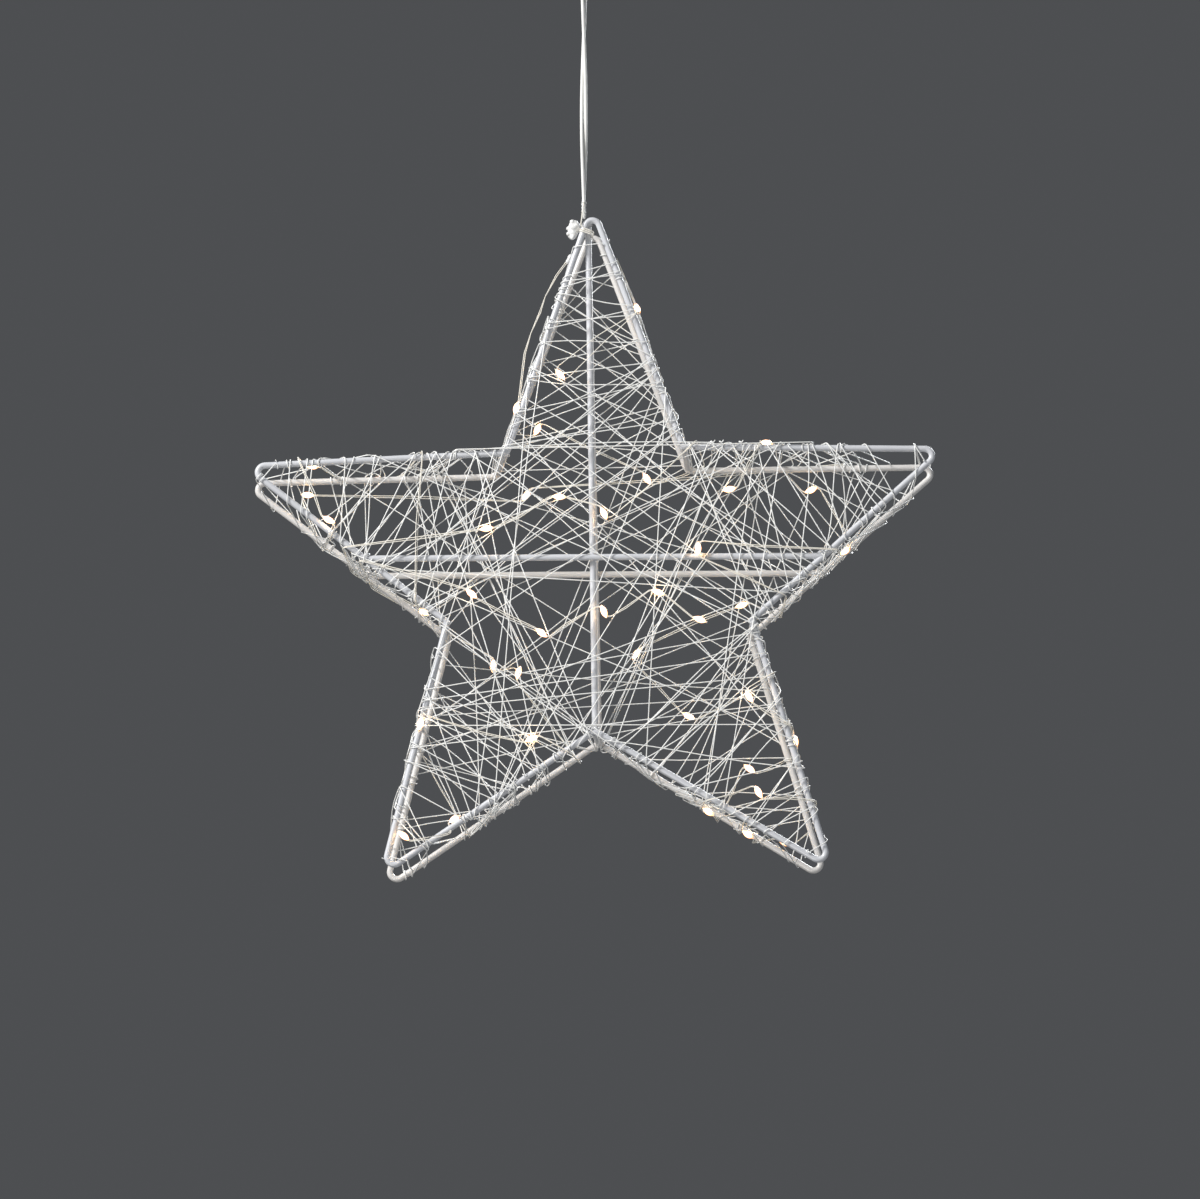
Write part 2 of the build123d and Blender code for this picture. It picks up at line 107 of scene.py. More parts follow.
# The four lengths of the string of lights. A row is a light on a face ("front" or "rear", x, z in
# shares of STAR_RADIUS, and the way it points in degrees from level), a light on a side ("side",
# bar, share of the bar, share of the depth), a turn over a bar ("edge", face, bar, share) or a
# plain place on a side ("start", bar, share, depth). A fifth value on a side moves the place that
# many millimetres further off. Bar k runs from corner k to the next, clockwise from the top tip.
STRINGS = {
    "top": [
        ("start", 0, 0.22, 0.04, -2.2), ("side", 0, 0.40, 0.45), ("edge", "front", 0, 0.45),
        ("front", -0.104, 0.535, -50),
    ],
    "left": [
        ("start", 9, 0.785, 0.024, -2.2), ("start", 9, 0.72, 0.20, 2.0),
        ("start", 9, 0.58, 0.36, 4.2), ("start", 9, 0.42, 0.45, 4.6),
        ("start", 9, 0.33, 0.47, 1.5), ("side", 9, 0.22, 0.50, -1.5), ("edge", "rear", 9, 0.17),
        ("rear", -0.168, 0.446, 65), ("rear", 0.131, 0.308, -57), ("edge", "rear", 1, 0.07),
        ("edge", "front", 1, 0.05), ("front", 0.013, 0.154, -65), ("front", -0.107, 0.199, -4),
        ("front", -0.301, 0.112, 8), ("edge", "front", 7, 0.50), ("edge", "rear", 7, 0.46),
        ("side", 7, 0.115, 0.40, -3.9), ("edge", "front", 7, 0.14), ("edge", "front", 8, 0.68),
        ("edge", "rear", 8, 0.63), ("rear", -0.605, 0.304, 0), ("edge", "rear", 8, 0.36),
        ("side", 8, 0.265, 0.60), ("edge", "front", 8, 0.20), ("front", -0.724, 0.136, -28),
        ("edge", "front", 7, 0.56), ("edge", "rear", 7, 0.60), ("rear", -0.793, 0.263, -4),
        ("rear", -0.198, 0.263, 57), ("edge", "rear", 1, 0.62),
    ],
    "right": [
        ("front", 0.350, 0.220, 10), ("edge", "front", 1, 0.30), ("side", 1, 0.32, 0.15),
        ("edge", "rear", 1, 0.36), ("rear", 0.578, 0.277, 25), ("edge", "rear", 2, 0.46),
        ("side", 2, 0.53, 0.40, -1.2), ("edge", "front", 2, 0.57), ("front", 0.266, 0.058, 90),
        ("edge", "front", 2, 0.84), ("edge", "rear", 2, 0.86), ("rear", 0.388, -0.043, 20),
        ("rear", 0.102, -0.177, 52), ("rear", 0.243, -0.348, -27), ("edge", "rear", 3, 0.20),
        ("edge", "front", 3, 0.22), ("front", 0.401, -0.345, -60), ("edge", "front", 3, 0.44),
        ("side", 3, 0.47, 0.50), ("edge", "rear", 3, 0.50), ("rear", 0.407, -0.493, -37),
        ("edge", "rear", 4, 0.46), ("side", 4, 0.50, 0.45), ("edge", "front", 4, 0.52),
        ("front", 0.425, -0.603, -62), ("edge", "front", 3, 0.74), ("edge", "rear", 3, 0.79),
        ("rear", 0.500, -0.694, -30), ("edge", "rear", 4, 0.31), ("side", 4, 0.33, 0.40),
        ("edge", "front", 4, 0.36),
    ],
    "waist": [
        ("front", 0.269, -0.136, -20), ("front", 0.158, -0.062, -20), ("front", 0.013, -0.114, -68),
        ("front", -0.154, -0.172, -38), ("front", -0.341, -0.066, -39), ("edge", "front", 7, 0.42),
        ("edge", "rear", 7, 0.36), ("rear", -0.287, -0.210, 88), ("rear", -0.218, -0.229, 75),
        ("edge", "rear", 5, 0.10), ("edge", "front", 5, 0.13), ("front", -0.180, -0.459, 27),
        ("edge", "front", 6, 0.63), ("side", 6, 0.59, -0.08, -4.5), ("edge", "rear", 6, 0.57),
        ("edge", "rear", 5, 0.62), ("side", 5, 0.645, 0.12, -8.5), ("edge", "front", 5, 0.69),
        ("front", -0.519, -0.721, -40),
    ],
}


# Where things are on the star, in millimetres

def frame_y(face):
    return 0.0 if face == "front" else STAR_DEPTH


def corner(face, k):
    """Corner k of a frame, clockwise from the top tip: even is a tip, odd a notch."""
    reach = NOTCH_RADIUS if k % 2 else STAR_RADIUS
    angle = radians(90 + HANG_TILT - 36 * k)
    stray = STRAY[face][k % 10]
    return Vector((STAR_SHIFT + reach * cos(angle) + stray[0] * STAR_RADIUS, frame_y(face),
                   -STAR_DROP + reach * sin(angle) + stray[1] * STAR_RADIUS))


def forward_of(face):
    """The direction that a face of the star looks in."""
    return Vector((0, -1 if face == "front" else 1, 0))


def bar_point(face, bar, share):
    return corner(face, bar).lerp(corner(face, bar + 1), share)


def bar_direction(face, bar):
    return (corner(face, bar + 1) - corner(face, bar)).normalized()


def outward(face, bar):
    """The direction in the face's plane that points away from the star, across a bar."""
    along = bar_direction(face, bar)
    return Vector((-along.z, 0, along.x))


def edge_point(face, bar, share, offset):
    """A place over a bar's outer front or rear edge."""
    return bar_point(face, bar, share) + (outward(face, bar) + forward_of(face)) * offset


def bend_middle(face, k, radius):
    """The middle of the frame's wire at corner k, which is bent to a radius."""
    before = (corner(face, k - 1) - corner(face, k)).normalized()
    after = (corner(face, k + 1) - corner(face, k)).normalized()
    half = before.angle(after) / 2
    return corner(face, k) + (before + after).normalized() * (radius / sin(half) - radius)


def from_tip(bar, share):
    """A share of a bar counted from its tip, as a share from its first corner."""
    return 1 - share if bar % 2 else share


def inside_star(face, a, b):
    """Whether the straight run from a to b stays within the star's outline."""
    outline = [corner(face, k) for k in range(10)]
    steps = 12
    for n in range(1, steps):
        p = a.lerp(b, n / steps)
        crossed = False
        for q, r in zip(outline, outline[1:] + outline[:1]):
            if (q.z > p.z) != (r.z > p.z) and p.x < q.x + (r.x - q.x) * (p.z - q.z) / (r.z - q.z):
                crossed = not crossed
        if not crossed:
            return False
    return True


# Nodes, written as expressions

class Socket:
    """One output of a node, which takes part in sums with others and with plain numbers."""

    def __init__(self, maker, socket):
        self.maker = maker
        self.socket = socket

    def _math(self, operation, *values):
        return self.maker.node("ShaderNodeMath", {"operation": operation}, *values)

    def __add__(self, other):
        return self._math("ADD", self, other)

    def __radd__(self, other):
        return self._math("ADD", other, self)

    def __mul__(self, other):
        return self._math("MULTIPLY", self, other)

    def __rmul__(self, other):
        return self._math("MULTIPLY", other, self)

    def above(self, other):
        return self._math("GREATER_THAN", self, other)


class Nodes:
    """Adds nodes to a tree: their type, their settings, then the values or links they take."""

    def __init__(self, tree):
        self.tree = tree
        self.column = 0

    def node(self, kind, settings=None, *values, out=0, **named):
        node = self.tree.nodes.new(kind)
        node.location = (self.column * 180, (self.column % 4) * -160)
        self.column += 1
        for key, value in (settings or {}).items():
            if key == "stops":
                ramp = node.color_ramp
                while len(ramp.elements) < len(value):
                    ramp.elements.new(1.0)
                for element, (position, colour) in zip(ramp.elements, value):
                    element.position = position
                    element.color = (*colour, 1.0)
            else:
                setattr(node, key, value)
        for index, value in enumerate(values):
            self.put(node.inputs[index], value)
        for key, value in named.items():
            self.put(node.inputs[key.replace("_", " ")], value)
        return Socket(self, node.outputs[out]) if node.outputs else None

    def put(self, socket, value):
        if isinstance(value, Socket):
            self.tree.links.new(value.socket, socket)
        elif value is not None:
            socket.default_value = value

    def given(self):
        """The inputs of a Geometry Nodes tree, without the blank one at their end."""
        first = self.node("NodeGroupInput")
        return [Socket(self, output) for output in first.socket.node.outputs][:-1]

    def hand_out(self, shape, finish):
        """The end of a Geometry Nodes tree: real geometry with its finish."""
        whole = self.node("GeometryNodeRealizeInstances", None, shape)
        done = self.node("GeometryNodeSetMaterial", None, whole, Material=finish)
        self.node("NodeGroupOutput", None, done)


def material(name, build):
    """A new material whose surface is the shader that build makes from its nodes."""
    made = bpy.data.materials.new(name)
    made.use_nodes = True
    made.node_tree.nodes.clear()
    nodes = Nodes(made.node_tree)
    nodes.node("ShaderNodeOutputMaterial", None, Surface=build(nodes))
    return made


def blend_colours(nodes, amount, low, high):
    """A colour between two, each a plain colour or a socket."""
    pair = [colour if isinstance(colour, Socket) else (*colour, 1.0) for colour in (low, high)]
    # A Mix node takes its two colours after the inputs for numbers and vectors
    others = [None] * 5
    return nodes.node("ShaderNodeMix", {"data_type": "RGBA"}, amount, *others, *pair, out=2)


def own_place(nodes):
    """The piece's own Object coordinates."""
    return nodes.node("ShaderNodeTexCoord", out="Object")


def grain(nodes, scale, detail):
    """Noise in the piece's own coordinates, with its scale in bumps per metre."""
    place = own_place(nodes)
    return nodes.node("ShaderNodeTexNoise", None, place, Scale=scale, Detail=detail)


def relief(nodes, strength, distance, scale, detail):
    """A bump of fine noise; its distance is in metres."""
    return nodes.node("ShaderNodeBump", None, Strength=strength, Distance=distance,
                      Height=grain(nodes, scale, detail))


def principled(nodes, **values):
    return nodes.node("ShaderNodeBsdfPrincipled", None, **values)


def painted_white(nodes, colour, shade, gloss, peel, peel_size, coat):
    """Sprayed or dipped white paint, with faint dull patches and a fine orange peel."""
    patches = grain(nodes, 22.0, 4.0)
    dust = grain(nodes, 160.0, 3.0)
    tone = blend_colours(nodes, patches * 0.75 + dust * 0.25, shade, colour)
    rough = patches * 0.16 + dust * 0.10 + (gloss - 0.13)
    bump = relief(nodes, peel, 0.0002, peel_size, 2.0)
    return principled(nodes, Base_Color=tone, Roughness=rough, Normal=bump, Coat_Weight=coat,
                      Coat_Roughness=0.25)


def frame_paint(nodes):
    """White paint, bluish grey in front; towards the rear a painted warm glow from the lit drops
    makes it warmer and lighter.
    """
    place = nodes.node("ShaderNodeSeparateXYZ", None, own_place(nodes), out="Y")
    # Painted light: the share of the depth from front to rear mixes in a warmer, lighter tone that
    # stands in for the lit drops' glow on the rear frame
    depth = place * (1 / (STAR_DEPTH * MM))
    bright = blend_colours(nodes, depth, (0.66, 0.67, 0.70), (0.74, 0.72, 0.70))
    dull = blend_colours(nodes, depth, (0.56, 0.57, 0.60), (0.63, 0.61, 0.59))
    return painted_white(nodes, bright, dull, 0.34, 0.35, 1500.0, 0.45)


def winding_enamel(nodes):
    """Bright white enamel on the fine winding wire."""
    return painted_white(nodes, (0.95, 0.95, 0.93), (0.86, 0.86, 0.84), 0.36, 0.20, 2600.0, 0.30)


def hook_enamel(nodes):
    """Duller white paint on the ceiling hook."""
    return painted_white(nodes, (0.74, 0.74, 0.73), (0.64, 0.64, 0.64), 0.34, 0.25, 1800.0, 0.40)


def micro_wire(nodes):
    """Silvery copper strand under thin clear enamel, warmer where the enamel is thick."""
    lacquer = grain(nodes, 240.0, 3.0)
    tone = blend_colours(nodes, lacquer, (0.97, 0.94, 0.87), (0.92, 0.86, 0.74))
    bump = relief(nodes, 0.25, 0.0001, 3000.0, 1.0)
    return principled(nodes, Base_Color=tone, Roughness=lacquer * 0.2 + 0.24, Normal=bump)


def lit_resin(nodes):
    """Clear resin drop, glowing white round its chip and amber towards its rim and ends."""
    along = nodes.node("ShaderNodeAttribute", {"attribute_name": "along"}, out=2)
    rim = nodes.node("ShaderNodeLayerWeight", None, 0.35, out=1)
    cloud = grain(nodes, 900.0, 2.0)
    glow = nodes.node("ShaderNodeValToRGB", {"stops": (
        (0.0, (1.0, 0.74, 0.44)), (0.28, (1.0, 0.66, 0.34)), (0.56, (0.13, 0.058, 0.020)),
        (1.0, (0.055, 0.019, 0.006)))}, along * along * 0.35 + rim * 1.75 + cloud * 0.10)
    tint = blend_colours(nodes, cloud, (0.98, 0.93, 0.84), (0.93, 0.84, 0.68))
    return principled(nodes, Base_Color=tint, Roughness=cloud * 0.12 + 0.04, IOR=1.5,
                      Emission_Color=glow, Emission_Strength=22.0, Coat_Weight=0.6)


def lit_chip(nodes):
    """Lit chip, warm white with a few yellow spots."""
    spots = grain(nodes, 2500.0, 1.0)
    tone = blend_colours(nodes, spots, (1.0, 0.90, 0.68), (1.0, 0.80, 0.48))
    return principled(nodes, Base_Color=tone, Roughness=spots * 0.2 + 0.3, Emission_Color=tone,
                      Emission_Strength=14.0)


def lead_jacket(nodes):
    """Soft white cable jacket with a slight handling grime."""
    grime = grain(nodes, 60.0, 4.0)
    tone = blend_colours(nodes, grime, (0.84, 0.84, 0.82), (0.75, 0.75, 0.72))
    bump = relief(nodes, 0.2, 0.0002, 1200.0, 2.0)
    return principled(nodes, Base_Color=tone, Roughness=grime * 0.15 + 0.34, Normal=bump)


def moulded_plastic(nodes):
    """White moulded plastic, dull and finely speckled."""
    speckle = grain(nodes, 500.0, 3.0)
    tone = blend_colours(nodes, speckle, (0.80, 0.80, 0.78), (0.72, 0.72, 0.70))
    bump = relief(nodes, 0.3, 0.0003, 2200.0, 2.0)
    return principled(nodes, Base_Color=tone, Roughness=speckle * 0.12 + 0.42, Normal=bump)


def melt_glue(nodes):
    """Milky hot-melt glue, uneven and a little shiny."""
    milk = grain(nodes, 300.0, 4.0)
    tone = blend_colours(nodes, milk, (0.86, 0.86, 0.85), (0.76, 0.76, 0.74))
    bump = relief(nodes, 0.5, 0.0006, 900.0, 3.0)
    return principled(nodes, Base_Color=tone, Roughness=milk * 0.2 + 0.34, Normal=bump)


FINISHES = {
    "frame_paint": frame_paint, "winding_wire": winding_enamel, "light_wire": micro_wire,
    "bead_resin": lit_resin, "light_chip": lit_chip, "lead_plastic": lead_jacket,
    "sleeve_plastic": moulded_plastic, "grip_plastic": moulded_plastic,
    "splice_glue": melt_glue, "hook_metal": hook_enamel,
}


def finish_of(slot):
    """The material of a slot of the record, made the first time it is asked for."""
    name = slot + "_finish"
    return bpy.data.materials.get(name) or material(name, FINISHES[slot])


# Geometry Nodes trees

def new_tree(name, inputs, made):
    """An empty Geometry Nodes tree with its inputs and its output, and the inputs' sockets."""
    tree = bpy.data.node_groups.new(name, "GeometryNodeTree")
    sockets = [tree.interface.new_socket(label, in_out="INPUT", socket_type=f"NodeSocket{kind}")
               for label, kind in inputs]
    tree.interface.new_socket(made, in_out="OUTPUT", socket_type="NodeSocketGeometry")
    return tree, sockets


class TubeTree:
    """Round wire along a curve's corners: each corner is bent to the bend radius."""

    def __init__(self, name, sides, bend_steps):
        self.tree, (_, self.radius, self.bend, self.finish) = new_tree(
            name, (("Route", "Geometry"), ("Wire Radius", "Float"), ("Bend Radius", "Float"),
                   ("Finish", "Material")), "Wire")
        nodes = Nodes(self.tree)
        route, radius, bend, finish = nodes.given()
        bent = nodes.node("GeometryNodeFilletCurve", {"mode": "POLY"}, Curve=route,
                          Count=bend_steps, Radius=bend, Limit_Radius=True)
        profile = nodes.node("GeometryNodeCurvePrimitiveCircle", None, Resolution=sides,
                             Radius=radius)
        tube = nodes.node("GeometryNodeCurveToMesh", None, Curve=bent, Profile_Curve=profile,
                          Fill_Caps=True)
        nodes.hand_out(nodes.node("GeometryNodeSetShadeSmooth", None, tube), finish)

    def make(self, name, routes, radius, bend, finish):
        """A mesh object of wires along routes, each a list of points in millimetres."""
        curve = bpy.data.curves.new(name, "CURVE")
        curve.dimensions = "3D"
        for route in routes:
            spline = curve.splines.new("POLY")
            spline.points.add(len(route) - 1)
            for point, place in zip(spline.points, route):
                point.co = (*(place * MM), 1.0)
        source = linked(name + "_route", curve)
        values = {self.radius: radius * MM, self.bend: bend * MM, self.finish: finish}
        return run_tree(source, name, self.tree, values, finish)


class DropTree:
    """The same piece on every point, turned to the point's run."""

    def __init__(self, name):
        self.tree, (_, self.piece, self.size, self.finish) = new_tree(
            name, (("Places", "Geometry"), ("Piece", "Object"), ("Size", "Float"),
                   ("Finish", "Material")), "Pieces")
        nodes = Nodes(self.tree)
        places, piece, size, finish = nodes.given()
        shape = nodes.node("GeometryNodeObjectInfo", None, piece, out="Geometry")
        run = nodes.node("GeometryNodeInputNamedAttribute", {"data_type": "FLOAT_VECTOR"}, "run")
        turn = nodes.node("FunctionNodeAlignRotationToVector", {"axis": "Z"}, Vector=run)
        put = nodes.node("GeometryNodeInstanceOnPoints", None, Points=places, Instance=shape,
                         Rotation=turn, Scale=size)
        nodes.hand_out(put, finish)

    def make(self, name, places, piece, size, finish):
        """A mesh object of the piece at each place, which is a point in millimetres and a run."""
        mesh = bpy.data.meshes.new(name + "_places")
        mesh.from_pydata([place * MM for place, run in places], [], [])
        runs = mesh.attributes.new("run", "FLOAT_VECTOR", "POINT")
        for value, (place, run) in zip(runs.data, places):
            value.vector = run
        source = linked(name + "_source", mesh)
        values = {self.piece: piece, self.size: size, self.finish: finish}
        made = run_tree(source, name, self.tree, values, finish)
        bpy.data.objects.remove(piece, do_unlink=True)
        return made


def linked(name, data):
    """A new object in the scene."""
    made = bpy.data.objects.new(name, data)
    bpy.context.scene.collection.objects.link(made)
    return made


def from_bmesh(shape, name, finish=None, smooth=False):
    """A new object of a bmesh, which is freed."""
    for face in shape.faces:
        face.smooth = smooth
    mesh = bpy.data.meshes.new(name)
    shape.to_mesh(mesh)
    shape.free()
    if finish:
        mesh.materials.append(finish)
    return linked(name, mesh)


def run_tree(source, name, tree, values, finish):
    """The plain mesh object that a tree makes of a source."""
    modifier = source.modifiers.new(tree.name, "NODES")
    modifier.node_group = tree
    for socket, value in values.items():
        modifier[socket.identifier] = value
    return plain_mesh(source, name, finish)


def plain_mesh(source, name, finish):
    """The source's mesh after its modifiers, as a plain object; the source goes."""
    seen = source.evaluated_get(bpy.context.evaluated_depsgraph_get())
    mesh = bpy.data.meshes.new_from_object(seen)
    mesh.name = name
    mesh.materials.clear()
    mesh.materials.append(finish)
    source.modifiers.clear()
    bpy.data.objects.remove(source, do_unlink=True)
    return linked(name, mesh)


def settle(piece, body, slot, *replaced):
    """Hands a finished piece over: what it moves with, and what it stands for. The slot argument is
    not used.
    """
    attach(piece, body)
    if replaced:
        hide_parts(*replaced)


# Sizes and colours that a user would change

class WireStarWindings(bpy.types.PropertyGroup):
    wire: bpy.props.FloatProperty(
        name="Wire", description="Thickness of the winding wire",
        default=0.60 * MM, unit="LENGTH", precision=5)
    arm_loops: bpy.props.IntProperty(
        name="Arm Loops", description="Loops wound round each arm", default=10)
    cross_loops: bpy.props.IntProperty(
        name="Cross Loops", description="Loops wound back over each arm", default=5)
    side_runs: bpy.props.IntProperty(
        name="Side Runs", description="Long skewed runs over each side of an arm", default=4)
    band_loops: bpy.props.IntProperty(
        name="Band Loops", description="Loops in each band across the body", default=4)
    stray_runs: bpy.props.IntProperty(
        name="Stray Runs", description="Long slanted runs after each band", default=9)
    bow: bpy.props.FloatProperty(
        name="Bow", description="How far a loose run strays from straight",
        default=2.2 * MM, unit="LENGTH", precision=5)
    wrapped: bpy.props.FloatProperty(
        name="Wrapped", description="Share of crossings that turn once round the bar",
        default=0.2, subtype="FACTOR")
    seed: bpy.props.IntProperty(
        name="Seed", description="Which uneven winding is made", default=11)


class WireStarLights(bpy.types.PropertyGroup):
    wire: bpy.props.FloatProperty(
        name="Wire", description="Thickness of each wire of the string",
        default=0.48 * MM, unit="LENGTH", precision=5)
    pitch: bpy.props.FloatProperty(
        name="Pitch", description="Distance between the string's two wires",
        default=0.8 * MM, unit="LENGTH", precision=5)
    drop_length: bpy.props.FloatProperty(
        name="Drop Length", description="Length of a resin drop",
        default=7.8 * MM, unit="LENGTH", precision=5)
    drop_width: bpy.props.FloatProperty(
        name="Drop Width", description="Width of a resin drop",
        default=3.8 * MM, unit="LENGTH", precision=5)
    slack: bpy.props.FloatProperty(
        name="Slack", description="How far a long run of the string strays",
        default=1.4 * MM, unit="LENGTH", precision=5)


class WireStarLead(bpy.types.PropertyGroup):
    strand: bpy.props.FloatProperty(
        name="Strand", description="Thickness of each strand of the lead",
        default=2.0 * MM, unit="LENGTH", precision=5)


class WireStarStage(bpy.types.PropertyGroup):
    backdrop: bpy.props.FloatVectorProperty(
        name="Backdrop", description="Colour behind the star", default=(0.075, 0.078, 0.083),
        subtype="COLOR")
    distance: bpy.props.FloatProperty(
        name="Distance", description="From the camera to the star", default=4.0, unit="LENGTH")
    elevation: bpy.props.FloatProperty(
        name="Elevation", description="Height of the camera's place as an angle",
        default=radians(-10.8), subtype="ANGLE")


# Pieces

class WIRESTAR_OT_stage(bpy.types.Operator):
    """Camera, lamps and backdrop"""
    bl_idname = "wire_star.stage"
    bl_label = "Stage"

    def execute(self, context):
        values = context.scene.wire_star_stage
        # The middle of the photograph, half way between both frames
        aim = Vector((9.0, STAR_DEPTH / 2, -395.1)) * MM
        back = Vector((0, -cos(values.elevation), sin(values.elevation)))
        camera = bpy.data.cameras.new("camera")
        camera.sensor_fit = "HORIZONTAL"
        camera.sensor_width = SENSOR_WIDTH
        camera.lens = SENSOR_WIDTH * PICTURE_LENS / PICTURE_WIDTH
        camera.clip_end = 50.0
        holder = linked("camera", camera)
        holder.location = aim + back * values.distance
        holder.rotation_euler = (-back).to_track_quat("-Z", "Y").to_euler()
        context.scene.camera = holder
        # Each lamp's place and size are in metres, and its power is in watts
        for name, place, size, power, colour in (
            ("key", (-2.1, -1.5, 1.3), 0.9, 128.0, (1.0, 0.99, 0.98)),
            ("fill", (1.9, -1.3, 0.0), 1.2, 5.0, (0.92, 0.96, 1.0)),
            ("back", (0.9, 1.8, 0.7), 1.0, 34.0, (0.94, 0.97, 1.0)),
            ("low", (-0.6, -1.4, -1.6), 0.8, 10.0, (1.0, 0.98, 0.95)),
        ):
            lamp = bpy.data.lights.new(name, "AREA")
            lamp.shape = "DISK"
            lamp.size = size
            lamp.energy = power
            lamp.color = colour
            stand = linked(name, lamp)
            stand.location = place
            stand.rotation_euler = (aim - stand.location).to_track_quat("-Z", "Y").to_euler()
        self.light_world(context, values)
        context.scene.view_settings.view_transform = "Standard"
        return {"FINISHED"}

    def light_world(self, context, values):
        """A soft even light; the camera, gloss and glass see the backdrop in its place."""
        world = bpy.data.worlds.new("world")
        world.use_nodes = True
        world.node_tree.nodes.clear()
        nodes = Nodes(world.node_tree)
        direct, glossy, through = (nodes.node("ShaderNodeLightPath", out=f"Is {ray} Ray")
                                   for ray in ("Camera", "Glossy", "Transmission"))
        seen = (direct + glossy + through).above(0.5)
        soft, plain = (
            nodes.node("ShaderNodeBackground", None, Color=(*colour, 1.0), Strength=strength)
            for colour, strength in (((0.90, 0.95, 1.0), 0.17), (values.backdrop, 1.0)))
        both = nodes.node("ShaderNodeMixShader", None, seen, soft, plain)
        nodes.node("ShaderNodeOutputWorld", None, Surface=both)
        context.scene.world = world


class WIRESTAR_OT_lead(bpy.types.Operator):
    """Supply lead: two strands, loosely twisted, from the grip down to the star"""
    bl_idname = "wire_star.lead"
    bl_label = "Lead"

    def execute(self, context):
        strand_d = context.scene.wire_star_lead.strand / MM
        # From the grip down to the star, in runs that turn a little round each other
        top, foot, runs, start_deg, turn_deg, gap = -43.05, -176.0, 6, 20.0, 255.0, 0.15
        run_length = (top - foot) / runs
        reach = (strand_d / 2 + gap) / cos(radians(turn_deg / runs / 2))
        for n, strand in enumerate(("first", "second")):
            curve = bpy.data.curves.new(f"strand_{strand}", "CURVE")
            curve.dimensions = "3D"
            spline = curve.splines.new("NURBS")
            spline.points.add(runs)
            for i, point in enumerate(spline.points):
                angle = radians(start_deg + 180 * n + turn_deg * i / runs)
                place = Vector((reach * cos(angle), reach * sin(angle), top - run_length * i))
                point.co = (*(place * MM), 1.0)
            spline.order_u = 3
            spline.use_endpoint_u = True
            spline.resolution_u = 10
            curve.bevel_depth = strand_d / 2 * MM
            curve.bevel_resolution = 4
            curve.use_fill_caps = True
            curve.materials.append(finish_of("lead_plastic"))
            piece = linked(f"strand_{strand}", curve)
            settle(piece, "lead", "lead_plastic", f"lead_strand_{strand}")
            angle = radians(start_deg + 180 * n + turn_deg)
        return {"FINISHED"}


class WIRESTAR_OT_finishes(bpy.types.Operator):
    """Paint and plastic of the frames, rods, hook, grip and fittings"""
    bl_idname = "wire_star.finishes"
    bl_label = "Finishes"

    def execute(self, context):
        for part in FRAME["record"]["subparts"]:
            piece = FRAME["nodes"][part["node"]]
            for slot in piece.material_slots:
                slot.material = finish_of(part["material_slot"])
        return {"FINISHED"}


